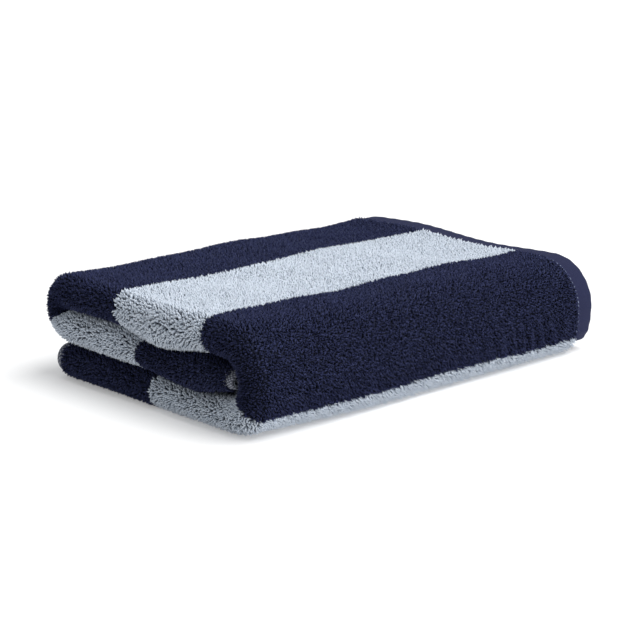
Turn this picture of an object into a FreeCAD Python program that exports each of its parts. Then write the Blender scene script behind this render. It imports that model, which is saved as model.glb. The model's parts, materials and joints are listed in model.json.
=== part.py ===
import FreeCAD, Part
import math
import os

# A bath towel, folded lengthwise in half twice (four plies) and then widthwise in thirds.
# Millimetres. +X runs along the folded length, from the rounded end folds to the end hems.
# -Y is the front fold, +Y the back fold, and the towel lies on the plane Z = 0.

# ---- the towel as it is cut and sewn
towel_length = 1300.0
towel_width = 700.0
cloth_thickness = 5.95  # ground weave with the loop pile of both faces
end_hem_width = 17.0
end_hem_thickness = 2.4  # flat weave, turned double
side_hem_width = 9.0
side_hem_thickness = 3.0
thread_width = 0.8
thread_proud = 0.4
thread_inset = 1.5  # from a hem's inner edge to its row of stitches

# ---- how it is folded
ply_gap = 0.3  # air between two plies, and between the two halves that open
hem_overhang = 8.0  # the end hems stand out past the inner fold by this much
bottom_edge_setback = 12.0  # the bottom free edge stops short of the back fold by this much

# ---- worked out from the values above
ply_pitch = cloth_thickness + ply_gap
tier_pitch = 4 * ply_pitch  # four plies make one tier, and three tiers make the pack
pack_height = 3 * tier_pitch - ply_gap
front_radius = pack_height / 2
back_radius = tier_pitch - ply_gap / 2

outer_fold_radius = 1.5 * ply_pitch  # middle of the cloth, first ply to fourth
inner_fold_radius = 0.5 * ply_pitch  # middle of the cloth, between neighbouring plies
outer_fold_reach = outer_fold_radius + cloth_thickness / 2
inner_fold_reach = inner_fold_radius + cloth_thickness / 2
cloth_in_end_folds = math.pi * (outer_fold_radius + 2 * inner_fold_radius)
hem_and_fold_reach = hem_overhang + inner_fold_reach
pack_length = (
    towel_length + 4 * outer_fold_reach + 2 * hem_and_fold_reach - cloth_in_end_folds
) / 4

cloth_in_long_folds = math.pi * (front_radius + back_radius - cloth_thickness)
flat_depth = (
    towel_width + bottom_edge_setback + ply_gap - back_radius - cloth_in_long_folds
) / 3
pack_depth = front_radius + flat_depth + back_radius

x_left_fold = -pack_length / 2 + outer_fold_reach
x_hem_end = pack_length / 2
x_cloth_end = x_hem_end - end_hem_width
x_right_fold = x_hem_end - hem_and_fold_reach

y_front_fold = -pack_depth / 2 + front_radius
y_back_fold = pack_depth / 2 - back_radius
y_bottom_edge = pack_depth / 2 - bottom_edge_setback
y_upper_start = y_front_fold + ply_gap

front_axis = FreeCAD.Vector(0, y_front_fold, pack_height / 2)
back_axis = FreeCAD.Vector(0, y_back_fold, pack_height - back_radius)
along_x = FreeCAD.Vector(1, 0, 0)


def ply_height(ply):
    """Middle of ply 1 to 4 above the plane, in the bottom tier."""
    return cloth_thickness / 2 + (ply - 1) * ply_pitch


def at(x, z):
    return FreeCAD.Vector(x, y_front_fold, z)


def line(x_from, x_to, z):
    return Part.makeLine(at(x_from, z), at(x_to, z))


def half_turn(x, z_from, z_to, bulge):
    """A half circle from z_from to z_to, bulging towards -X or +X."""
    radius = abs(z_to - z_from) / 2
    middle = at(x + bulge * radius, (z_from + z_to) / 2)
    return Part.Arc(at(x, z_from), middle, at(x, z_to)).toShape()


def strip_section(inner, outer):
    """Section of a strip that runs through all four plies.

    The strip's middle goes along ply 1, round the outer end fold to ply 4, back through the
    right-hand fold to ply 3 and round the inner end fold to ply 2. The section lies between
    two offsets from that middle, counted towards the outside of the first fold.
    """
    z1, z2, z3, z4 = [ply_height(ply) for ply in (1, 2, 3, 4)]
    edges = [
        line(x_cloth_end, x_left_fold, z1 - outer),
        half_turn(x_left_fold, z1 - outer, z4 + outer, -1),
        line(x_left_fold, x_right_fold, z4 + outer),
        half_turn(x_right_fold, z4 + outer, z3 - outer, 1),
        line(x_right_fold, x_left_fold, z3 - outer),
        half_turn(x_left_fold, z3 - outer, z2 + outer, -1),
        line(x_left_fold, x_cloth_end, z2 + outer),
        Part.makeLine(at(x_cloth_end, z2 + outer), at(x_cloth_end, z2 + inner)),
        line(x_cloth_end, x_left_fold, z2 + inner),
        half_turn(x_left_fold, z2 + inner, z3 - inner, -1),
        line(x_left_fold, x_right_fold, z3 - inner),
        half_turn(x_right_fold, z3 - inner, z4 + inner, 1),
        line(x_right_fold, x_left_fold, z4 + inner),
        half_turn(x_left_fold, z4 + inner, z1 - inner, -1),
        line(x_left_fold, x_cloth_end, z1 - inner),
        Part.makeLine(at(x_cloth_end, z1 - inner), at(x_cloth_end, z1 - outer)),
    ]
    return Part.Face(Part.Wire(edges))


def rectangle(x_from, x_to, z_from, z_to):
    corners = [at(x_from, z_from), at(x_to, z_from), at(x_to, z_to), at(x_from, z_to)]
    return Part.Face(Part.makePolygon(corners + corners[:1]))


def hem_section(ply):
    """An end hem: a flat double band that carries the ply on to its cut end."""
    half = end_hem_thickness / 2
    z = ply_height(ply)
    return rectangle(x_cloth_end, x_hem_end, z - half, z + half)


def hem_thread_sections(ply):
    """The row of stitches along a hem's inner edge, on both of its faces."""
    half = end_hem_thickness / 2
    z = ply_height(ply)
    x_from = x_cloth_end + thread_inset
    x_to = x_from + thread_width
    return [
        rectangle(x_from, x_to, z - half - thread_proud, z - half),
        rectangle(x_from, x_to, z + half, z + half + thread_proud),
    ]


def turned(section, axis_point):
    """The same section after a half turn about a fold, with its plies upside down."""
    copy = section.copy()
    copy.rotate(axis_point, along_x, -180)
    return copy


def run(section, y_from, y_to):
    """A flat stretch of the section, between two places along Y."""
    copy = section.copy()
    copy.translate(FreeCAD.Vector(0, y_from - copy.BoundBox.YMin, 0))
    return copy.extrude(FreeCAD.Vector(0, y_to - y_from, 0))


def fold(section, axis_point):
    """The section carried round a fold by a half turn."""
    copy = section.copy()
    copy.translate(FreeCAD.Vector(0, axis_point.y - copy.BoundBox.YMin, 0))
    return copy.revolve(axis_point, along_x, -180)


def carried(sections):
    """The sections carried through the three tiers and the two long folds.

    Gives a dictionary of place to solid. The end hems and their threads run to the free
    edges, and the cloth leaves room there for the side hems.
    """
    below = sections
    above = [turned(s, front_axis) for s in below]
    between = [turned(s, back_axis) for s in above]
    return {
        "bottom": [run(s, y_front_fold, y_bottom_edge) for s in below],
        "front_fold": [fold(s, front_axis) for s in below],
        "top": [run(s, y_upper_start, y_back_fold) for s in above],
        "back_fold": [fold(s, back_axis) for s in above],
        "middle": [run(s, y_upper_start, y_back_fold) for s in between],
    }


def one_shape(solids):
    return solids[0] if len(solids) == 1 else Part.makeCompound(solids)


parts = {}

# ---- the terry cloth, in its five stretches
cloth = strip_section(-cloth_thickness / 2, cloth_thickness / 2)
cloth_above = turned(cloth, front_axis)
cloth_between = turned(cloth_above, back_axis)
parts["terry_bottom"] = run(cloth, y_front_fold, y_bottom_edge - side_hem_width)
parts["terry_front_fold"] = fold(cloth, front_axis)
parts["terry_top"] = run(cloth_above, y_upper_start, y_back_fold)
parts["terry_back_fold"] = fold(cloth_above, back_axis)
parts["terry_middle"] = run(cloth_between, y_upper_start + side_hem_width, y_back_fold)

# ---- the two end hems and their stitching: ply 1 has the outer one and ply 2 the inner one
for name, ply in (("outer", 1), ("inner", 2)):
    for place, solids in carried([hem_section(ply)]).items():
        parts[f"{name}_end_hem_{place}"] = one_shape(solids)
    for place, solids in carried(hem_thread_sections(ply)).items():
        parts[f"{name}_hem_thread_{place}"] = one_shape(solids)

# ---- the two side hems along the free edges, and their stitching
side_hem = strip_section(-side_hem_thickness / 2, side_hem_thickness / 2)
side_thread = strip_section(side_hem_thickness / 2, side_hem_thickness / 2 + thread_proud)
side_thread_reach = thread_inset + thread_width
y_bottom_hem = y_bottom_edge - side_hem_width
y_middle_hem = y_upper_start + side_hem_width
parts["side_hem_bottom"] = run(side_hem, y_bottom_hem, y_bottom_edge)
parts["side_hem_thread_bottom"] = run(
    side_thread, y_bottom_hem + thread_inset, y_bottom_hem + side_thread_reach
)
hem_between = turned(turned(side_hem, front_axis), back_axis)
thread_between = turned(turned(side_thread, front_axis), back_axis)
parts["side_hem_middle"] = run(hem_between, y_upper_start, y_middle_hem)
parts["side_hem_thread_middle"] = run(
    thread_between, y_middle_hem - side_thread_reach, y_middle_hem - thread_inset
)

os.makedirs("parts", exist_ok=True)
for name, shape in parts.items():
    shape.exportStep(os.path.join("parts", name + ".step"))
    print(f"{name}: {len(shape.Solids)} solids, {shape.Volume / 1000:.1f} cm3, valid {shape.isValid()}")
print(f"pack {pack_length:.1f} x {pack_depth:.1f} x {pack_height:.1f} mm")
print(f"front fold axis y {y_front_fold:.2f} z {pack_height / 2:.2f}")
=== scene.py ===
import json
import math

import bpy
import numpy as np
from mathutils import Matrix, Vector

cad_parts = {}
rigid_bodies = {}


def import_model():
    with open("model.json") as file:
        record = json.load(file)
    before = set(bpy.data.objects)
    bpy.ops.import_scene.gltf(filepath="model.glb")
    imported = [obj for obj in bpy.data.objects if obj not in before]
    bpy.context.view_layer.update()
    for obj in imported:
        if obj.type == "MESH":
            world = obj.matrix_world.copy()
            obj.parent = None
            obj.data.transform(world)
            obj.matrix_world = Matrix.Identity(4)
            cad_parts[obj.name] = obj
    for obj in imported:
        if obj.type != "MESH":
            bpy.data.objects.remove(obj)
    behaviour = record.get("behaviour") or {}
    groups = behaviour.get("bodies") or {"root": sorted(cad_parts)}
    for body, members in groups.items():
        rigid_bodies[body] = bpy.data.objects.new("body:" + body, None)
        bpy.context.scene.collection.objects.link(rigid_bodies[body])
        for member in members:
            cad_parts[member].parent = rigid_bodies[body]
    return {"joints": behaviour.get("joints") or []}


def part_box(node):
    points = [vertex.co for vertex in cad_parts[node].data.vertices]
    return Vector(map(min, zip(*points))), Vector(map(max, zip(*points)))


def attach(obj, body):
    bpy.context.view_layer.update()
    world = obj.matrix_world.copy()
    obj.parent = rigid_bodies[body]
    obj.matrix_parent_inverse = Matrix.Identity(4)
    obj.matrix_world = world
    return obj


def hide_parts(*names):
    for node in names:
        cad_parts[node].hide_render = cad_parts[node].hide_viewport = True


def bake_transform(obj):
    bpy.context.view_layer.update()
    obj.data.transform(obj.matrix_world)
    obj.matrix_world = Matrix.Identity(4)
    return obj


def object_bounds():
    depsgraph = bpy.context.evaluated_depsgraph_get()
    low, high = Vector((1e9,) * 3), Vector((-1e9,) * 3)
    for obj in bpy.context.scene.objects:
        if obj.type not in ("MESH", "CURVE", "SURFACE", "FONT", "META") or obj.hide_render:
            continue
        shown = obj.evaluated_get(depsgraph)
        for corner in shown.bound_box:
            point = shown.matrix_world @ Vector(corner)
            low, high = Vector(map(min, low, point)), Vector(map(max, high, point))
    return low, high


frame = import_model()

# A striped bath towel: one terry cloth, folded in four plies and then in three tiers.
# Metres. s runs along the towel's length through the four plies, v across its width through
# the three tiers, and o stands off the middle of the cloth, towards its face side.

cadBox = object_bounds()
mm = 0.001


def boxOf(node):
    # A CAD node's two box corners.
    low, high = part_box(node)
    return np.array(low), np.array(high)


# ---- sizes that the frame gives
hinge = frame["joints"][0]
packHeight = cadBox[1][2]
foldY, foldZ = hinge["pos_m"][1], hinge["pos_m"][2]
frontRadius = packHeight / 2
backLow, backHigh = boxOf("terry_back_fold")
backY, backRadius = backLow[1], backHigh[1] - backLow[1]
backZ = packHeight - backRadius
tierPitch = boxOf("terry_middle")[0][2]
plyGap = 3 * tierPitch - packHeight
plyPitch = tierPitch / 4
clothThickness = plyPitch - plyGap
hemLow, hemHigh = boxOf("outer_end_hem_top")
hemWidth = hemHigh[0] - hemLow[0]
sideLow, sideHigh = boxOf("side_hem_bottom")
sideHemWidth = sideHigh[1] - sideLow[1]
bottomEdgeY = sideHigh[1]
upperStartY = boxOf("side_hem_middle")[0][1]
leftX = boxOf("terry_top")[0][0]
rightFoldX = boxOf("terry_top")[1][0]

outerFoldRadius = 1.5 * plyPitch
innerFoldRadius = 0.5 * plyPitch
turnLeftX = leftX + outerFoldRadius + clothThickness / 2
turnRightX = rightFoldX - innerFoldRadius - clothThickness / 2
hemEndX = hemHigh[0]
plyHeights = clothThickness / 2 + plyPitch * np.arange(4)

# ---- lengths along the fold path, from the outer end hem to the inner one
longRun, shortRun = hemEndX - turnLeftX, turnRightX - turnLeftX
lengthRuns = np.array([
    longRun, math.pi * outerFoldRadius, shortRun, math.pi * innerFoldRadius,
    shortRun, math.pi * innerFoldRadius, longRun])
lengthStarts = np.concatenate([[0], np.cumsum(lengthRuns)])
towelLength = lengthStarts[-1]
lengthFolds = (1, 3, 5)  # the runs that are folds

# ---- lengths across the width, from the bottom free edge to the middle one
widthRuns = np.array([
    bottomEdgeY - foldY, math.pi * (frontRadius - plyHeights[0]), backY - foldY,
    math.pi * (backRadius - plyHeights[0]), backY - upperStartY])
widthStarts = np.concatenate([[0], np.cumsum(widthRuns)])
towelWidth = widthStarts[-1]
tierNames = ["bottom", "frontFold", "top", "backFold", "middle"]
widthFolds = (1, 3)

cloth = {
    "groundThickness": 1.5 * mm,
    "stripeEdges": (108 * mm, 213 * mm, 311 * mm, 404 * mm, 508 * mm, 610 * mm),
    "stripeWave": 0.9 * mm,  # how far a stripe's edge wanders
    "stray": 0.25 * mm,  # and how far single loops stray over it
    "gridStep": 5 * mm,
    "foldSteps": 12,
    "widthFoldSteps": 16,
}
pile = {
    "height": 2.9 * mm,
    "radius": 0.74 * mm,
    "spacing": 1.38 * mm,
    "lean": 0.8 * mm,
    "maxTufts": 18500,  # in one piece
}


def foldPath(s):
    # The middle of the cloth in the length direction: straight along ply 1, a half circle of
    # radius 1.5 pitches to ply 4, a half circle of 0.5 pitch to ply 3, another to ply 2.
    # Gives x, the height in the tier and the direction that the cloth's face looks in.
    s = np.asarray(s, float)
    k = np.clip(np.searchsorted(lengthStarts, s, side="right") - 1, 0, 6)
    t = s - lengthStarts[k]
    z1, z2, z3, z4 = plyHeights
    outer, inner = t / outerFoldRadius, t / innerFoldRadius
    one, zero = np.ones_like(s), np.zeros_like(s)
    x = np.choose(k, [
        hemEndX - t, turnLeftX - outerFoldRadius * np.sin(outer), turnLeftX + t,
        turnRightX + innerFoldRadius * np.sin(inner), turnRightX - t,
        turnLeftX - innerFoldRadius * np.sin(inner), turnLeftX + t])
    h = np.choose(k, [
        z1 * one, (z1 + z4) / 2 - outerFoldRadius * np.cos(outer), z4 * one,
        (z3 + z4) / 2 + innerFoldRadius * np.cos(inner), z3 * one,
        (z2 + z3) / 2 + innerFoldRadius * np.cos(inner), z2 * one])
    nx = np.choose(k, [zero, -np.sin(outer), zero, np.sin(inner), zero, np.sin(inner), zero])
    nh = np.choose(k, [-one, -np.cos(outer), one, np.cos(inner), -one, -np.cos(inner), one])
    return x, h, nx, nh


def widthPath(v, h):
    # The roll across the width at height h in the tier: flat towards the front, half a turn
    # of radius frontRadius - h, flat to the back, half a turn of backRadius - h, flat again.
    v = np.asarray(v, float)
    k = np.clip(np.searchsorted(widthStarts, v, side="right") - 1, 0, 4)
    t = v - widthStarts[k]
    front = math.pi * t / widthRuns[1]
    back = math.pi * t / widthRuns[3]
    y = np.choose(k, [
        bottomEdgeY - t, foldY - (frontRadius - h) * np.sin(front), foldY + t,
        backY + (backRadius - h) * np.sin(back), backY - t])
    z = np.choose(k, [
        h, foldZ - (frontRadius - h) * np.cos(front), packHeight - h,
        backZ + (backRadius - h) * np.cos(back), backZ - backRadius + h])
    return y, z


def rise(x, low, high):
    # A smoothstep, 0 up to low and 1 from high on.
    t = np.clip((x - low) / (high - low), 0, 1)
    return t * t * (3 - 2 * t)


settling = {
    "hemEnd": (-30 * mm, 160 * mm),  # along x, where the hem end's shifts set in and are full
    "foldedEnd": (-170 * mm, -50 * mm),  # along x, where the folded end's shifts fade out
    "backSide": (0, 100 * mm),  # along y, where the back corner's shifts set in
    "frontDrop": 0.06,  # share of the height lost at the hem end, at the front
    "backDrop": 0.025,  # and at the back
    "dropSide": (-110 * mm, 30 * mm),
    "hemDroop": -1.2 * mm,  # how far the hem end hangs down, and less than 0 turns it up
    "droopFrom": 118 * mm,  # along x
    "droopRun": 50 * mm,  # it grows with the square of the share of this run
    "hemPullBack": 9 * mm,  # the hem lies this much short behind its front corner
    "pullBackSide": (-100 * mm, -20 * mm),
    "cornerPullBack": 8 * mm,  # and its back corner this much more
    "cornerSide": (40 * mm, 110 * mm),
    "hemPushOut": 4 * mm,  # and its front corner this much long
    "pushOutSide": (-100 * mm, -30 * mm),
    "cornerLift": 3.5 * mm,  # the back corner at the folded end stands up
    "cornerPush": 3 * mm,  # and out
    "endSag": (7 * mm, 4.5 * mm),  # at the folded end the top and middle tiers hang down
    "sagFade": (-170 * mm, -100 * mm),
    "topSagSide": (-65 * mm, -12 * mm, -12 * mm, 40 * mm),  # along y, as hump takes them
    "topSagHeight": (22 * mm, 50 * mm, 50 * mm, 72 * mm),
    "middleSagSide": (-100 * mm, -45 * mm, -45 * mm, 15 * mm),
    "middleSagHeight": (4 * mm, 25 * mm, 25 * mm, 47 * mm),
    "frontBulge": 2 * mm,  # the front stands out this much at the hem end
    "bulgeFrom": -120 * mm,
    "footPower": (2.5, 4.5),  # the fold's lower half is a superellipse, 2 would be round
    "footSide": (-170 * mm, -40 * mm),
    "footLimit": 0.97,  # share of the fold's height down to which it is widened
    "creaseDepth": 1.5 * mm,
    "creasePitch": 12 * mm,
    "creaseSide": (20 * mm, 80 * mm, 120 * mm, 160 * mm),  # along x, as hump takes them
    "creaseHeight": (4 * mm, 14 * mm, 20 * mm, 50 * mm),
    "foldCalm": 20 * mm,  # creases and waves fade out this near the fold line
    "wave": 1.3 * mm,  # size of the slow waves
}


def hump(t, start, full, fading, end):
    # Rises from start to full, stays at 1 as far as fading and falls back to zero at end.
    return rise(t, start, full) * (1 - rise(t, fading, end))


def waviness(x, y):
    # A sum of three sines that run askew to each other.
    return (np.sin(31 * x + 17 * y + 0.6) + 0.6 * np.sin(57 * y - 23 * x + 2.1)
            + 0.5 * np.sin(83 * x + 41 * y + 4.0))


def sag(x, y, z):
    # How far the tiers hang down at the folded end: a hump across the depth times a hump over
    # the height, for the top and the middle tier, fading out along the pack.
    top = hump(y, *settling["topSagSide"]) * hump(z, *settling["topSagHeight"])
    middle = hump(y, *settling["middleSagSide"]) * hump(z, *settling["middleSagHeight"])
    depth = settling["endSag"][0] * top + settling["endSag"][1] * middle
    return depth * (1 - rise(x, *settling["sagFade"]))


def widened(x, y, z):
    # How far the foot of the front fold stands out: below the hinge a circle is stretched to
    # a superellipse of the same height, squarer towards the hem end.
    below = np.clip(1 - z / foldZ, 0, settling["footLimit"])
    roundest, squarest = settling["footPower"]
    power = roundest + (squarest - roundest) * rise(x, *settling["footSide"])
    wider = (1 - below ** power) ** (1 / power) / np.sqrt(1 - below ** 2)
    return np.clip(foldY - y, 0, 1) * (wider - 1)


def creases(x, y, z):
    # Upright sine creases at the foot of the front, near the hem end, with a slight slant.
    where = hump(x, *settling["creaseSide"]) * hump(z, *settling["creaseHeight"])
    where = where * (1 - rise(y, foldY - settling["foldCalm"], foldY))
    along = x + 0.25 * z + 0.004 * np.sin(70 * x)
    return settling["creaseDepth"] * where * np.sin(2 * math.pi * along / settling["creasePitch"])


def settle(x, y, z):
    # How the soft pack lies. Height: a share is lost towards the hem end, more at the front;
    # the folded back corner stands up, the hem end turns up a little, waves grow with height,
    # and the folded end sags. Length: the hem's back is pulled in, its front corner pushed out
    # and the folded back corner too. Depth: the front bulges, its foot is squarer and creased.
    # The fold line itself keeps its depth.
    high = np.clip(z / packHeight, 0, 1.1)
    far = rise(x, *settling["hemEnd"])
    folded = 1 - rise(x, *settling["foldedEnd"])
    atBack = rise(y, *settling["backSide"])
    wave = settling["wave"]

    fore = 1 - rise(y, *settling["dropSide"])
    drop = far * (settling["backDrop"] + (settling["frontDrop"] - settling["backDrop"]) * fore)
    past = np.clip(x - settling["droopFrom"], 0, 1) / settling["droopRun"]
    droop = settling["hemDroop"] * past ** 2
    lift = settling["cornerLift"] * folded * atBack
    slow = wave * waviness(x, y) * high
    newZ = z * (1 - drop) + (lift - droop) * high ** 1.5 + slow * 0.6 * rise(z, 0.01, 0.04)
    newZ = newZ - sag(x, y, z)

    pulled = settling["hemPullBack"] * rise(y, *settling["pullBackSide"])
    pulled = pulled + settling["cornerPullBack"] * rise(y, *settling["cornerSide"])
    newX = x - pulled * far * high
    newX = newX + settling["hemPushOut"] * far * (1 - rise(y, *settling["pushOutSide"]))
    newX = newX - settling["cornerPush"] * folded * atBack * high
    newX = newX + 0.5 * wave * np.sin(61 * y + 90 * z) * rise(z, 0.0, 0.01)

    newY = y - settling["frontBulge"] * far * (1 - rise(y, settling["bulgeFrom"], foldY))
    newY = newY - widened(x, y, z) + creases(x, y, z)
    offFold = np.clip(np.abs(y - foldY) / settling["foldCalm"], 0, 1)
    newY = newY + 0.5 * wave * np.sin(37 * x + 60 * z + 1.0) * rise(z, 0.0, 0.02) * offFold
    return newX, newY, newZ


tuck = {
    "reach": 110 * mm, "forward": 11 * mm,
    "squeeze": 0.4,  # share of the height over the hinge that is lost at the edge
    "squeezeReach": 0.4,  # share of the reach
}


def tuckIn(v, y, z):
    # The free edge of the middle tier is pushed into the front fold and squeezed flatter there:
    # both grow smoothly over the reach from the edge, the squeeze over a share of it.
    share = rise(v, towelWidth - tuck["reach"], towelWidth)
    close = rise(v, towelWidth - tuck["squeezeReach"] * tuck["reach"], towelWidth)
    return y - tuck["forward"] * share, foldZ + (z - foldZ) * (1 - tuck["squeeze"] * close)


def clothPoint(s, v, o):
    # A point o off the middle of the cloth, at length s and width v.
    x, h, nx, nh = foldPath(s)
    y, z = tuckIn(v, *widthPath(v, h + nh * o))
    return np.stack(settle(x + nx * o, y, z), axis=-1)


def meshOf(name, points, loops, sizes, materials):
    # One mesh object from points (n, 3), the corners of all faces in a row and face sizes.
    mesh = bpy.data.meshes.new(name)
    mesh.vertices.add(len(points))
    mesh.vertices.foreach_set("co", np.ascontiguousarray(points, np.float32).ravel())
    mesh.loops.add(len(loops))
    mesh.loops.foreach_set("vertex_index", np.ascontiguousarray(loops, np.int32))
    mesh.polygons.add(len(sizes))
    starts = np.concatenate([[0], np.cumsum(sizes)[:-1]])
    mesh.polygons.foreach_set("loop_start", starts.astype(np.int32))
    mesh.polygons.foreach_set("use_smooth", np.full(len(sizes), True))
    for material in materials:
        mesh.materials.append(material)
    mesh.update(calc_edges=True)
    piece = bpy.data.objects.new(name, mesh)
    bpy.context.scene.collection.objects.link(piece)
    return piece


def turnsInwards(points, loops, sizes):
    # True if the closed mesh holds a negative volume, by the sum over fans of its faces.
    starts = np.concatenate([[0], np.cumsum(sizes)[:-1]])
    total = 0.0
    middle = points.mean(axis=0)
    for size in np.unique(sizes):
        corner = loops[starts[sizes == size][:, None] + np.arange(size)]
        for i in range(1, size - 1):
            a, b, c = (points[corner[:, j]] - middle for j in (0, i, i + 1))
            total += float((a * np.cross(b, c)).sum())
    return total < 0


def outwards(points, loops, sizes):
    # The same faces, each one's corners in reverse order if the mesh is inside out.
    if not turnsInwards(points, loops, sizes):
        return loops
    turned = loops.copy()
    starts = np.concatenate([[0], np.cumsum(sizes)[:-1]])
    for size in np.unique(sizes):
        at = starts[sizes == size][:, None] + np.arange(size)
        turned[at] = loops[at][:, ::-1]
    return turned


def addUv(piece, name, corners):
    # corners has one pair for each corner of each face.
    layer = piece.data.uv_layers.new(name=name)
    layer.data.foreach_set("uv", np.ascontiguousarray(corners, np.float32).ravel())


# ---- materials

finish = {"specular": 0.12, "sheenRoughness": 0.5}
weave = {"bandScale": 0.3, "distortion": 0.6, "detail": 1.0, "bumpStrength": 0.6}


def newMaterial(name, roughness, sheen, sheenTint):
    # Plain cotton: its constants stand on the shader's own sockets.
    material = bpy.data.materials.new(name)
    material.use_nodes = True
    shader = material.node_tree.nodes["Principled BSDF"]
    shader.inputs["Roughness"].default_value = roughness
    shader.inputs["Specular IOR Level"].default_value = finish["specular"]
    shader.inputs["Sheen Weight"].default_value = sheen
    shader.inputs["Sheen Roughness"].default_value = finish["sheenRoughness"]
    shader.inputs["Sheen Tint"].default_value = (*sheenTint, 1)
    return material, shader


def loopMaterials(name, rootShade, tip, bright, sheenTint):
    # Cotton loops: one tone for their sides, half way between the root tone and tip: painted shade
    # for the loops' lower parts and the gaps between them. Three tones for their tips, from a little
    # darker than tip to half way between tip and bright.
    rootShade, tip, bright = np.array(rootShade), np.array(tip), np.array(bright)
    tones = {
        # the sides' tone leans to the root tone: painted shade, darker than the tips
        "Side": (rootShade + tip) / 2, "Low": 0.25 * rootShade + 0.75 * tip,
        "Mid": tip, "High": (tip + bright) / 2,
    }
    made = []
    for part, tone in tones.items():
        material, shader = newMaterial(name + part, 0.95, 0.1, sheenTint)
        shader.inputs["Base Color"].default_value = (*tone, 1)
        made.append(material)
    return made


def weaveMaterial(name, dark, light, sheenTint, pitch, slant, depth):
    # Flat weave: two crossed sine bands of the piece's own map, in metres, give colour and bump.
    material, shader = newMaterial(name, 0.85, 0.08, sheenTint)
    nodes, links = material.node_tree.nodes, material.node_tree.links
    place = nodes.new("ShaderNodeUVMap")
    place.uv_map = "clothMap"
    turn = nodes.new("ShaderNodeMapping")
    turn.inputs["Rotation"].default_value = (0, 0, slant)
    turn.inputs["Scale"].default_value = (1 / pitch, 1 / pitch, 1)
    links.new(place.outputs["UV"], turn.inputs["Vector"])
    both = nodes.new("ShaderNodeMath")
    both.operation = "MULTIPLY"
    for i, direction in enumerate("XY"):
        bands = nodes.new("ShaderNodeTexWave")
        bands.wave_type, bands.bands_direction = "BANDS", direction
        bands.inputs["Scale"].default_value = weave["bandScale"]
        bands.inputs["Distortion"].default_value = weave["distortion"]
        if direction == "X":
            bands.inputs["Detail"].default_value = weave["detail"]
        links.new(turn.outputs["Vector"], bands.inputs["Vector"])
        links.new(bands.outputs["Fac"], both.inputs[i])
    colour = nodes.new("ShaderNodeMix")
    colour.data_type = "RGBA"
    colour.inputs["A"].default_value = (*dark, 1)
    colour.inputs["B"].default_value = (*light, 1)
    links.new(both.outputs["Value"], colour.inputs["Factor"])
    links.new(colour.outputs["Result"], shader.inputs["Base Color"])
    bump = nodes.new("ShaderNodeBump")
    bump.inputs["Strength"].default_value = weave["bumpStrength"]
    bump.inputs["Distance"].default_value = depth
    links.new(both.outputs["Value"], bump.inputs["Height"])
    links.new(bump.outputs["Normal"], shader.inputs["Normal"])
    return material


def threadMaterial(name, tone):
    # Smooth sewing thread of one tone.
    material, shader = newMaterial(name, 0.55, 0.1, (0.8, 0.85, 0.95))
    shader.inputs["Base Color"].default_value = (*tone, 1)
    return material


# the first tone of each is the root's: painted shade for the loops' sides and the gaps between them
navyLoops = loopMaterials(
    "navyLoops", (0.002, 0.003, 0.008), (0.015, 0.019, 0.055), (0.034, 0.041, 0.104), (0.45, 0.5, 0.8))
paleLoops = loopMaterials(
    "paleLoops", (0.40, 0.455, 0.53), (0.575, 0.63, 0.71), (0.625, 0.675, 0.74), (0.9, 0.95, 1.0))
# the weaves: dark and light tone, sheen, then pitch, slant in radians and depth of the bump
groundWeave = weaveMaterial(
    "groundWeave", (0.008, 0.010, 0.022), (0.022, 0.027, 0.060), (0.4, 0.45, 0.7),
    0.9 * mm, 0, 0.2 * mm)
hemWeave = weaveMaterial(
    "hemWeave", (0.010, 0.012, 0.036), (0.024, 0.028, 0.078), (0.5, 0.55, 0.85), 0.8 * mm, 0, 0.2 * mm)
sideWeave = weaveMaterial(
    "sideWeave", (0.055, 0.06, 0.08), (0.40, 0.42, 0.48), (0.6, 0.6, 0.7), 2.0 * mm, 0.7, 0.5 * mm)
hemThread = threadMaterial("hemThread", (0.20, 0.235, 0.34))
sideThread = threadMaterial("sideThread", (0.24, 0.26, 0.34))
print("materials made")


# ---- woven ground

def gridLines(low, high, starts, step, foldSteps, folds):
    # Places between low and high: even steps on the straight runs, finer ones in the folds.
    lines, least = [low, high], 1e-6
    for k in range(len(starts) - 1):
        a, b = max(low, starts[k]), min(high, starts[k + 1])
        if b - a < least:
            continue
        full = starts[k + 1] - starts[k]
        count = foldSteps * (b - a) / full if k in folds else (b - a) / step
        lines.extend(np.linspace(a, b, max(2, int(math.ceil(count)) + 1)))
    lines = np.unique(np.round(lines, 9))
    return lines[np.concatenate([[True], np.diff(lines) > least])]


def closedStrip(s, v, thickness):
    # The cloth over a grid of lengths s and widths v, as a closed skin: the face side at
    # plus half the thickness, the other side at minus half, and a rim round the edge.
    ns, nv = len(s), len(v)
    gridS, gridV = np.meshgrid(s, v, indexing="ij")
    both = [clothPoint(gridS, gridV, side * thickness / 2).reshape(-1, 3) for side in (1, -1)]
    at = np.arange(ns * nv).reshape(ns, nv)
    quads = np.stack([at[:-1, :-1], at[1:, :-1], at[1:, 1:], at[:-1, 1:]], axis=-1).reshape(-1, 4)
    rim = np.concatenate([at[:, 0], at[-1, 1:], at[-2::-1, -1], at[0, -2::-1]])
    ring = np.stack([rim[:-1], rim[1:]], axis=-1)
    under = ns * nv
    sides = np.stack([ring[:, 1], ring[:, 0], ring[:, 0] + under, ring[:, 1] + under], axis=-1)
    faces = np.concatenate([quads, quads[:, ::-1] + under, sides])
    points = np.concatenate(both)
    uv = np.stack([gridS.ravel(), gridV.ravel()], axis=-1)
    uv = np.concatenate([uv, uv + [0, 1.0]])  # the other side's map lies one metre further on
    return points, faces, uv


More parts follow.
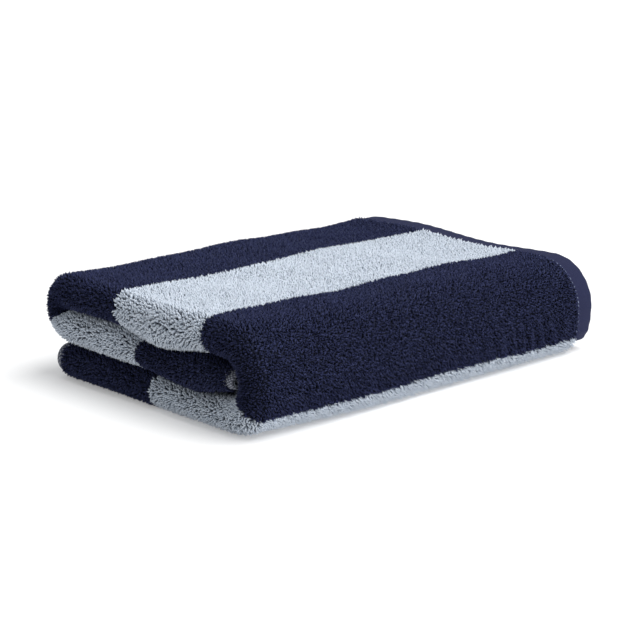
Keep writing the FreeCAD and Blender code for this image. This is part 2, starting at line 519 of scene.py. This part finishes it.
def groundPiece(name, sRange, vRange):
    # The woven ground with its map in metres and a second map that fills the unit square,
    # less a small margin.
    s = gridLines(*sRange, lengthStarts, cloth["gridStep"], cloth["foldSteps"], lengthFolds)
    v = gridLines(*vRange, widthStarts, cloth["gridStep"], cloth["widthFoldSteps"], widthFolds)
    points, faces, uv = closedStrip(s, v, cloth["groundThickness"])
    sizes = np.full(len(faces), 4)
    loops = outwards(points, faces.ravel(), sizes)
    piece = meshOf(name, points, loops, sizes, [groundWeave])
    addUv(piece, "clothMap", uv[loops])
    span, margin = uv.max(axis=0) - uv.min(axis=0), 0.002
    addUv(piece, "OFBake", margin + (1 - 2 * margin) * (uv[loops] - uv.min(axis=0)) / span)
    return piece


clothS = (hemWidth, towelLength - hemWidth)
groundBottom = groundPiece("groundBottom", clothS, (sideHemWidth, widthStarts[1]))
groundUpper = groundPiece("groundUpper", clothS, (widthStarts[2], towelWidth - sideHemWidth))
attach(groundBottom, "root")
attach(groundUpper, "upper_tiers")
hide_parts("terry_bottom")
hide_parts("terry_top", "terry_back_fold", "terry_middle")

# The front fold is cut into bands.
foldBands = {
    "margin": 1.5 * mm,  # past each narrow fold
    "topShare": 0.86,  # share of the fold's height at which it goes wholly with the upper tiers
}


def bandEdges():
    # Name and length range of each band: one for each ply and bend, two for the widest bend.
    margin = foldBands["margin"]
    cuts = [clothS[0], lengthStarts[1], (lengthStarts[1] + lengthStarts[2]) / 2, lengthStarts[2],
            lengthStarts[3] - margin, lengthStarts[4] + margin, lengthStarts[5] - margin,
            lengthStarts[6] + margin, clothS[1]]
    names = ["ply1", "endFold_1", "endFold_2", "ply4", "rightFold", "ply3", "innerFold", "ply2"]
    return [(name, cuts[i], cuts[i + 1]) for i, name in enumerate(names)]


def blendFold(piece, low, high):
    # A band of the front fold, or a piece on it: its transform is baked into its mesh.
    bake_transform(piece)


groundFront = []
for band, low, high in bandEdges():
    piece = groundPiece(f"groundFront_{band}", (low, high), (widthStarts[1], widthStarts[2]))
    blendFold(piece, low, high)
    groundFront.append((piece, low, high))
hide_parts("terry_front_fold")
print("ground cloth made:", 2 + len(groundFront), "pieces")


# ---- loop pile

def stripeIsPale(s, v, rng):
    # Stripes along the towel: every second one between the edges is pale. The edge wanders
    # slowly, and single loops of one colour stray a little over it.
    wander = cloth["stripeWave"] * (np.sin(37 * s) + 0.6 * np.sin(91 * s + 1.7)) / 1.6
    stray = rng.normal(0, cloth["stray"], len(v))
    return np.searchsorted(cloth["stripeEdges"], v + wander + stray) % 2 == 1


tuftShape = {
    "roots": 0.75,  # radius at the root as a share of the belly's
    "belly": 0.58,  # height of the belly as a share of the loop's
    "sink": 0.4 * mm,
    "heights": (0.8, 1.15),  # shortest and longest, as shares of the look's height
    "stretch": (0.75, 1.25),  # how much longer the belly is, and as much narrower
    "swirl": 0.5,  # uneven turn of the belly against the root, in radians
    "bellyLean": 0.45,  # share of the tip's lean
    "hemLean": 1.6 * mm,  # more lean over the outer end hem
    "hemReach": 2.5 * mm,  # for loops this near it
    "tone": (1.5, 0.8),  # middle and spread of the tip's tone, from 0 to 3
    "jitter": 0.32,  # of the spacing
}


def scatter(sRange, vRange, spacing, rng):
    # One place for each loop: a grid of rows, every second row shifted, each place jittered.
    ns = max(1, int(round((sRange[1] - sRange[0]) / spacing)))
    nv = max(1, int(round((vRange[1] - vRange[0]) / spacing)))
    i, j = np.meshgrid(np.arange(ns), np.arange(nv), indexing="ij")
    s = sRange[0] + (i + 0.5 + 0.5 * (j % 2) - 0.25) / ns * (sRange[1] - sRange[0])
    v = vRange[0] + (j + 0.5) / nv * (vRange[1] - vRange[0])
    jitter = tuftShape["jitter"]
    s = s + rng.uniform(-jitter, jitter, s.shape) * spacing
    v = v + rng.uniform(-jitter, jitter, v.shape) * spacing
    return s.ravel(), v.ravel()


def tufts(name, s, v, side, look, rng):
    # Every loop is a closed three-sided spindle: a small ring at its root, a wider one at its
    # belly, and a tip. Ring corners are set off in s and v and raised in o, so that the
    # spindles open out round a fold and close up inside it. The faces round the tip take one
    # of the three tip tones, the others the darker tone of the sides, which is painted shade
    # at the loops' roots, in navy or pale.
    n = len(s)
    height = look["height"] * rng.uniform(*tuftShape["heights"], n)
    lean = rng.normal(0, 1, (n, 2)) * look["lean"]
    edge = np.clip(1 - (s - hemWidth) / tuftShape["hemReach"], 0, 1) * (s < lengthStarts[1])
    lean[:, 0] -= tuftShape["hemLean"] * edge
    turn = rng.uniform(0, 2 * math.pi, n)[:, None] + np.arange(3) * 2 * math.pi / 3
    root = look["radius"] * tuftShape["roots"]
    base = cloth["groundThickness"] / 2
    sRoot = s[:, None] + root * np.cos(turn)
    vRoot = v[:, None] + root * np.sin(turn)
    swirl = turn + rng.normal(0, tuftShape["swirl"], n)[:, None]
    stretch = rng.uniform(*tuftShape["stretch"], n)[:, None]
    belly, bent = look["radius"], lean * tuftShape["bellyLean"]
    sBelly = s[:, None] + bent[:, :1] + belly * stretch * np.cos(swirl)
    vBelly = v[:, None] + bent[:, 1:] + belly / stretch * np.sin(swirl)
    sTip = s + lean[:, 0]
    vTip = v + lean[:, 1]
    oRoot = np.full((n, 3), side * (base - tuftShape["sink"]))
    oBelly = np.repeat(side * (base + height * tuftShape["belly"])[:, None], 3, axis=1)
    allS = np.concatenate([sRoot, sBelly, sTip[:, None]], axis=1)
    allV = np.concatenate([vRoot, vBelly, vTip[:, None]], axis=1)
    allO = np.concatenate([oRoot, oBelly, (side * (base + height))[:, None]], axis=1)
    points = clothPoint(allS, allV, allO).reshape(-1, 3)
    # faces of one loop: three quads, three tip triangles and the root's cap
    corners = [0, 1, 4, 3, 1, 2, 5, 4, 2, 0, 3, 5, 3, 4, 6, 4, 5, 6, 5, 3, 6, 2, 1, 0]
    sizesOne = [4, 4, 4, 3, 3, 3, 3]
    loops = (np.array(corners)[None] + 7 * np.arange(n)[:, None]).ravel()
    sizes = np.tile(sizesOne, n)
    if turnsInwards(points[:7], np.array(corners), np.array(sizesOne)):
        loops = outwards(points, loops, sizes)
    piece = meshOf(name, points, loops, sizes, navyLoops + paleLoops)
    pale = stripeIsPale(s, v, rng) if side > 0 else ~stripeIsPale(s, v, rng)
    tone = np.clip(np.floor(rng.normal(*tuftShape["tone"], n)), 0, 2) + 1
    # the side faces keep the side tone: painted shade at the loops' roots
    isTip = np.array([0, 0, 0, 1, 1, 1, 0])
    piece.data.polygons.foreach_set(
        "material_index", (4 * pale[:, None] + tone[:, None] * isTip).astype(np.int32).ravel())
    return piece


def withLook(**changes):
    # The face's pile with some values changed.
    return {**pile, **changes}


faceLook = withLook()
bendLook = withLook(height=3.5 * mm, radius=0.68 * mm, spacing=1.42 * mm, lean=0.8 * mm)
hiddenLook = withLook(height=2.5 * mm, radius=1.05 * mm, spacing=2.0 * mm)
revealedLook = withLook(height=2.5 * mm, radius=0.95 * mm, spacing=1.72 * mm)
edgeLook = withLook(height=2.5 * mm, radius=0.95 * mm, spacing=1.8 * mm)
nookLook = withLook(height=2.6 * mm, radius=0.85 * mm, spacing=1.5 * mm)

ply1 = (clothS[0], lengthStarts[1])
endFold = (lengthStarts[1], lengthStarts[2])
ply4 = (lengthStarts[2], lengthStarts[3])
rightFold = (lengthStarts[3], lengthStarts[4])
ply3 = (lengthStarts[4], lengthStarts[5])
ply2 = (lengthStarts[6], clothS[1])
reach = {  # how far the pile goes in from the open edges of a hidden ply
    "foldNook": 24 * mm, "hemNook": 16 * mm, "freeEdge": 12 * mm,
    "tucked": (18 * mm, 0.6 * mm),
    "overHem": 2 * mm,  # the loops at the end reach over a part of the side hems
}
rightOf1 = (ply1[0], ply1[0] + reach["hemNook"])
leftOf4 = (ply4[0], ply4[0] + reach["foldNook"])
rightOf2 = (ply2[1] - reach["hemNook"], ply2[1])

tierV = {name: (widthStarts[k], widthStarts[k + 1]) for k, name in enumerate(tierNames)}
tierV["bottom"] = (sideHemWidth, widthStarts[1])
tierV["middle"] = (widthStarts[4], towelWidth - sideHemWidth)
tierV["tucked"] = (towelWidth - reach["tucked"][0], towelWidth - reach["tucked"][1])
tierV["bottomEdge"] = (sideHemWidth, sideHemWidth + reach["freeEdge"])
tierV["middleEdge"] = (towelWidth - sideHemWidth - reach["freeEdge"], towelWidth - sideHemWidth)

# each field of pile: name, body, tier, length range, side of the cloth, look
pileFields = [
    ("under", "root", "bottom", ply1, 1, hiddenLook),
    ("bottomEnd", "root", "bottom", endFold, 1, bendLook),
    ("bottomTop", "root", "bottom", ply4, 1, revealedLook),
    ("top", "upper_tiers", "top", ply1, 1, faceLook),
    ("topEnd", "upper_tiers", "top", endFold, 1, bendLook),
    ("topInner", "upper_tiers", "top", leftOf4, 1, nookLook),
    ("back", "upper_tiers", "backFold", ply1, 1, faceLook),
    ("backEnd", "upper_tiers", "backFold", endFold, 1, bendLook),
    ("middleUnder", "upper_tiers", "middle", ply1, 1, revealedLook),
    ("middleEnd", "upper_tiers", "middle", endFold, 1, bendLook),
    ("middleInner", "upper_tiers", "middle", leftOf4, 1, nookLook),
    ("tuckedEnd", "upper_tiers", "tucked", endFold, -1, nookLook),
]
plyRanges = {"1": ply1, "2": ply2, "3": ply3, "4": ply4}
for edge, body in (("bottomEdge", "root"), ("middleEdge", "upper_tiers")):
    for ply, side in (("1", -1), ("2", 1), ("2", -1), ("3", -1), ("3", 1), ("4", -1)):
        facing = "Face" if side > 0 else "Back"
        pileFields.append((f"{edge}{ply}{facing}", body, edge, plyRanges[ply], side, edgeLook))
for tier, body in (("bottom", "root"), ("top", "upper_tiers"), ("backFold", "upper_tiers"),
                   ("middle", "upper_tiers")):
    pileFields += [
        (f"{tier}RightFold", body, tier, rightFold, 1, nookLook),
        (f"{tier}HemNook1", body, tier, rightOf1, -1, nookLook),
        (f"{tier}HemNook2", body, tier, rightOf2, -1, nookLook),
        (f"{tier}HemNook2Face", body, tier, rightOf2, 1, nookLook),
    ]


def shares(values, low, high, parts, word):
    # Splits a range into equal parts, open at both ends: a mask and a name's ending for each.
    cuts = np.linspace(low, high, parts + 1)
    cuts[0], cuts[-1] = -np.inf, np.inf
    endings = [f"_{word}{i + 1}" if parts > 1 else "" for i in range(parts)]
    return [((values >= a) & (values < b), ending) for a, b, ending in zip(cuts, cuts[1:], endings)]


pilePieces = {"root": [], "upper_tiers": [], "front": []}
seed = 11
for name, body, tier, sRange, side, look in pileFields:
    rng = np.random.default_rng(seed)
    seed += 1
    vLow, vHigh = tierV[tier]
    if sRange is endFold:
        vLow -= reach["overHem"] * (tier == "bottom")
        vHigh += 2 * reach["overHem"] * (tier == "middle")
    s, v = scatter(sRange, (vLow, vHigh), look["spacing"], rng)
    parts = int(math.ceil(len(s) / pile["maxTufts"]))
    for inside, ending in shares(v, vLow, vHigh, parts, ""):
        piece = tufts(f"pile_{name}{ending}", s[inside], v[inside], side, look, rng)
        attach(piece, body)
        pilePieces[body].append(piece)

# look and number of parts for each kind of band in the front fold; the hidden ones have no pile
frontLooks = {
    "ply1": (faceLook, 2), "endFold": (bendLook, 1), "ply4": (nookLook, 1), "rightFold": (nookLook, 1),
}
for ground, low, high in groundFront:
    bandName = ground.name.replace("groundFront_", "")
    kind = bandName.split("_")[0]
    if kind not in frontLooks:
        continue
    look, parts = frontLooks[kind]
    high = low + reach["foldNook"] if kind == "ply4" else high
    rng = np.random.default_rng(seed)
    seed += 1
    s, v = scatter((low, high), tierV["frontFold"], look["spacing"], rng)
    for inside, ending in shares(s, low, high, parts, "part"):
        piece = tufts(f"pile_front_{bandName}{ending}", s[inside], v[inside], 1, look, rng)
        blendFold(piece, low, high)
        pilePieces["front"].append((ground, piece))
loopCount = sum(len(o.data.vertices) // 7 for o in bpy.data.objects if o.name.startswith("pile_"))
print("pile made:", loopCount, "loops of 10 triangles")


# ---- end hems

endHem = {
    "thickness": 2.2 * mm, "corners": 20, "step": 2.5 * mm, "squareness": 0.3,
    "pucker": 0.18 * mm,
    "extra": 0.3 * mm,  # it laps this much over the ground on each side
}
stitch = {
    "length": 2.3 * mm, "pitch": 3.2 * mm, "radius": 0.3 * mm, "inset": 1.9 * mm,
    "rings": 0.38,  # the outer rings' distance from the middle, as a share of the length
    "bow": 0.18 * mm,  # the middle ring stands up
    "dip": 0.15 * mm,  # and the points go down
    "lift": 0.05 * mm,  # off the hem
}


def flatRing(width, thickness, corners, squareness):
    # The corners of a rounded rectangle: signed powers of cosine and sine, and the smaller
    # the power, the squarer.
    turn = np.arange(corners) / corners * 2 * math.pi
    c, d = np.cos(turn), np.sin(turn)
    across = width / 2 * np.sign(c) * np.abs(c) ** squareness
    return across, thickness / 2 * np.sign(d) * np.abs(d) ** 0.6


def tubeMesh(name, uvS, uvV, o, material):
    # A ring of corners carried along a row, closed by a fan at each end.
    points = clothPoint(uvS, uvV, o)
    ends = np.stack([points[:, 0].mean(axis=0), points[:, -1].mean(axis=0)])
    rings, steps = points.shape[:2]
    at = np.arange(rings * steps).reshape(rings, steps)
    after = np.roll(at, -1, axis=0)
    quads = np.stack([at[:, :-1], after[:, :-1], after[:, 1:], at[:, 1:]], axis=-1).reshape(-1, 4)
    total = rings * steps
    fanA = np.stack([after[:, 0], at[:, 0], np.full(rings, total)], axis=-1)
    fanB = np.stack([at[:, -1], after[:, -1], np.full(rings, total + 1)], axis=-1)
    allPoints = np.concatenate([points.reshape(-1, 3), ends])
    loops = np.concatenate([quads.ravel(), fanA.ravel(), fanB.ravel()])
    sizes = np.concatenate([np.full(len(quads), 4), np.full(2 * rings, 3)])
    loops = outwards(allPoints, loops, sizes)
    piece = meshOf(name, allPoints, loops, sizes, [material])
    uv = np.stack([uvS.ravel(), uvV.ravel()], axis=-1)
    uv = np.concatenate([uv, uv[[0, -1]]])
    addUv(piece, "clothMap", uv[loops])
    return piece


def endHemPiece(name, outer, vRange):
    # A flat band along v, with small puckers at its row of stitches.
    centre = hemWidth / 2 if outer else towelLength - hemWidth / 2
    v = np.linspace(*vRange, int(math.ceil((vRange[1] - vRange[0]) / endHem["step"])) + 1)
    across, off = flatRing(
        hemWidth + 2 * endHem["extra"], endHem["thickness"], endHem["corners"], endHem["squareness"])
    gridS, gridV = np.meshgrid(centre + across, v, indexing="ij")
    gridO = np.repeat(off[:, None], len(v), axis=1)
    gridO = gridO + endHem["pucker"] * np.sin(2 * math.pi * gridV / stitch["pitch"]) * (gridO > 0)
    piece = tubeMesh(name, gridS, gridV, gridO, hemWeave)
    return piece


def stitchRow(name, centres, along, lift, material):
    # A row of stitches. Each one is a spindle of four corners on three rings with a point at
    # both ends, bowed up from the cloth. centres are (s, v, side); along is "s" or "v".
    n = len(centres)
    share = np.array([-1, 0, 1]) * stitch["rings"]
    turn = np.arange(4) * math.pi / 2 + math.pi / 4
    length, radius = stitch["length"], stitch["radius"]
    width = np.tile(radius * np.cos(turn), (3, 1))
    bow = radius * np.sin(turn)[None] + np.array([0.0, stitch["bow"], 0.0])[:, None]
    run = np.repeat((share * length)[:, None], 4, axis=1)
    run = np.concatenate([run.ravel(), [-length / 2, length / 2]])
    width = np.concatenate([width.ravel(), [0, 0]])
    bow = np.concatenate([bow.ravel(), [-stitch["dip"], -stitch["dip"]]])
    s = centres[:, :1] + (run if along == "s" else width)[None]
    v = centres[:, 1:2] + (width if along == "s" else run)[None]
    o = centres[:, 2:] * (lift + bow[None])
    points = clothPoint(s, v, o).reshape(-1, 3)
    at = np.arange(12).reshape(3, 4)
    after = np.roll(at, -1, axis=1)
    quads = np.stack([at[:-1], after[:-1], after[1:], at[1:]], axis=-1).reshape(-1, 4)
    tips = np.concatenate([
        np.stack([after[0], at[0], np.full(4, 12)], axis=-1),
        np.stack([at[2], after[2], np.full(4, 13)], axis=-1)])
    corners = np.concatenate([quads.ravel(), tips.ravel()])
    sizesOne = np.concatenate([np.full(8, 4), np.full(8, 3)])
    shifted = np.empty((n, len(corners)), int)
    for side in np.unique(centres[:, 2]):  # the two sides of the cloth mirror the faces
        picked = np.flatnonzero(centres[:, 2] == side)
        one = points[14 * picked[0]:14 * picked[0] + 14]
        shifted[picked] = outwards(one, corners, sizesOne)[None] + 14 * picked[:, None]
    loops = shifted.ravel()
    piece = meshOf(name, points, loops, np.tile(sizesOne, n), [material])
    uv = np.stack([s.ravel(), v.ravel()], axis=-1)
    addUv(piece, "clothMap", uv[loops])
    return piece


def hemStitches(name, outer, vRange):
    # One row along v near the hem's inner edge, on both sides of the cloth.
    s = hemWidth - stitch["inset"] if outer else towelLength - hemWidth + stitch["inset"]
    v = np.arange(vRange[0] + stitch["pitch"] / 2, vRange[1] - stitch["pitch"] / 4, stitch["pitch"])
    centres = np.concatenate([
        np.stack([np.full(len(v), s), v, np.full(len(v), side)], axis=-1) for side in (1, -1)])
    piece = stitchRow(name, centres, "v", endHem["thickness"] / 2 + stitch["lift"], hemThread)
    return piece


hemSpans = {
    "bottom": ("root", (0, widthStarts[1]), ["bottom"]),
    "front": (None, (widthStarts[1], widthStarts[2]), ["front_fold"]),
    "upper": ("upper_tiers", (widthStarts[2], towelWidth), ["top", "back_fold", "middle"]),
}
hemPieces = {"root": [], "upper_tiers": [], None: []}
for which, outer in (("outer", True), ("inner", False)):
    for span, (body, vRange, places) in hemSpans.items():
        hem = endHemPiece(f"{which}EndHem_{span}", outer, vRange)
        threads = hemStitches(f"{which}HemStitches_{span}", outer, vRange)
        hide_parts(*[f"{which}_end_hem_{place}" for place in places])
        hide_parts(*[f"{which}_hem_thread_{place}" for place in places])
        for piece in (hem, threads):
            if body:
                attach(piece, body)
            else:
                blendFold(piece, *((0, hemWidth) if outer else (towelLength - hemWidth, towelLength)))
            hemPieces[body].append(piece)
print("end hems made")


# ---- side hems

sideHem = {
    "thickness": 2.6 * mm, "corners": 16, "step": 4 * mm, "foldSteps": 14, "squareness": 0.35,
}


def sideHemPiece(name, vLow, vHigh):
    # A flat band along s, round all the plies' folds.
    s = gridLines(*clothS, lengthStarts, sideHem["step"], sideHem["foldSteps"], lengthFolds)
    across, off = flatRing(
        vHigh - vLow, sideHem["thickness"], sideHem["corners"], sideHem["squareness"])
    gridV, gridS = np.meshgrid((vLow + vHigh) / 2 + across, s, indexing="ij")
    piece = tubeMesh(name, gridS, gridV, np.repeat(off[:, None], len(s), axis=1), sideWeave)
    return piece


def sideStitches(name, v):
    # One row along s, on the cloth's face side.
    s = np.arange(clothS[0] + stitch["pitch"], clothS[1] - stitch["pitch"], stitch["pitch"])
    centres = np.stack([s, np.full(len(s), v), np.ones(len(s))], axis=-1)
    piece = stitchRow(name, centres, "s", sideHem["thickness"] / 2 + stitch["lift"], sideThread)
    return piece


for place, body, vLow, vHigh, vStitch in (
        ("bottom", "root", 0, sideHemWidth, sideHemWidth - stitch["inset"]),
        ("middle", "upper_tiers", towelWidth - sideHemWidth, towelWidth,
         towelWidth - sideHemWidth + stitch["inset"])):
    hem = sideHemPiece(f"sideHem_{place}", vLow, vHigh)
    threads = sideStitches(f"sideStitches_{place}", vStitch)
    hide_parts(f"side_hem_{place}")
    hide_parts(f"side_hem_thread_{place}")
    for piece in (hem, threads):
        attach(piece, body)
        hemPieces[body].append(piece)
print("side hems made")


# ---- the pile and hem pieces that lie on each band of the front fold


for ground, low, high in groundFront:
    others = [piece for band, piece in pilePieces["front"] if band is ground]
    if ground is groundFront[0][0]:
        others = others + hemPieces[None]


# ---- floor, light and camera

studio = {
    "floorHalf": 8, "floorTone": 0.72, "floorGlow": 0.25,
    "skyTone": (0.97, 0.985, 1.0),
    "skyStrength": (0.28, 0.69),  # at its edge and overhead
    "backdrop": 1.1,
    "sunStrength": 3.0, "sunFrom": (0.34, -0.48, 1.0), "sunAngle": 50,
    "fillStrength": 1.45, "fillFrom": (0.35, -1.0, 0.10), "fillAngle": 30,
}
floorMesh = bpy.data.meshes.new("floor")
half = studio["floorHalf"]
floorMesh.from_pydata(
    [(-half, -half, 0), (half, -half, 0), (half, half, 0), (-half, half, 0)], [], [(0, 1, 2, 3)])
floor = bpy.data.objects.new("floor", floorMesh)
bpy.context.scene.collection.objects.link(floor)
floorPaint = bpy.data.materials.new("floorPaint")
floorPaint.use_nodes = True
floorShader = floorPaint.node_tree.nodes["Principled BSDF"]
floorShader.inputs["Base Color"].default_value = (studio["floorTone"],) * 3 + (1,)
floorShader.inputs["Roughness"].default_value = 0.8
floorShader.inputs["Emission Color"].default_value = (1, 1, 1, 1)
floorShader.inputs["Emission Strength"].default_value = studio["floorGlow"]
floorMesh.materials.append(floorPaint)

world = bpy.data.worlds.new("studio")
world.use_nodes = True
skyNodes, skyLinks = world.node_tree.nodes, world.node_tree.links
sky = skyNodes["Background"]
sky.inputs["Color"].default_value = (*studio["skyTone"], 1)
# the sky is brighter overhead than at its edge; the backdrop looks white all the same
upward = skyNodes.new("ShaderNodeTexCoord")
heightOf = skyNodes.new("ShaderNodeSeparateXYZ")
glow = skyNodes.new("ShaderNodeMapRange")
glow.inputs["To Min"].default_value, glow.inputs["To Max"].default_value = studio["skyStrength"]
skyLinks.new(upward.outputs["Generated"], heightOf.inputs["Vector"])
skyLinks.new(heightOf.outputs["Z"], glow.inputs["Value"])
seen = skyNodes.new("ShaderNodeLightPath")
strength = skyNodes.new("ShaderNodeMapRange")
strength.inputs["To Max"].default_value = studio["backdrop"]
skyLinks.new(glow.outputs["Result"], strength.inputs["To Min"])
skyLinks.new(seen.outputs["Is Camera Ray"], strength.inputs["Value"])
skyLinks.new(strength.outputs["Result"], sky.inputs["Strength"])
bpy.context.scene.world = world


def aimed(thing, position, target):
    # Placed so, and turned to look at the target.
    direction = Vector(target) - Vector(position)
    thing.location = position
    thing.rotation_euler = direction.to_track_quat("-Z", "Y").to_euler()


def softSun(name, strength, position, angle):
    # A sun that is as wide as the angle in degrees.
    light = bpy.data.lights.new(name, "SUN")
    light.energy = strength
    light.angle = math.radians(angle)
    lamp = bpy.data.objects.new(name, light)
    bpy.context.scene.collection.objects.link(lamp)
    aimed(lamp, position, (0, 0, 0))


softSun("keyLight", studio["sunStrength"], studio["sunFrom"], studio["sunAngle"])
softSun("fillLight", studio["fillStrength"], studio["fillFrom"], studio["fillAngle"])

view = {
    "azimuth": -43.15, "elevation": 15.35, "distance": 1.586, "lens": 120.9,
    "target": (-0.001, 0.0, 0.0322),
}
camera = bpy.data.cameras.new("camera")
camera.lens = view["lens"]
camera.sensor_width = 36
camera.clip_start, camera.clip_end = 0.05, 30
eye = bpy.data.objects.new("camera", camera)
bpy.context.scene.collection.objects.link(eye)
a, e = math.radians(view["azimuth"]), math.radians(view["elevation"])
back = np.array([math.sin(a) * math.cos(e), -math.cos(a) * math.cos(e), math.sin(e)])
aimed(eye, tuple(np.array(view["target"]) + back * view["distance"]), view["target"])
bpy.context.scene.camera = eye
bpy.context.scene.view_settings.view_transform = "Standard"
print("studio made")
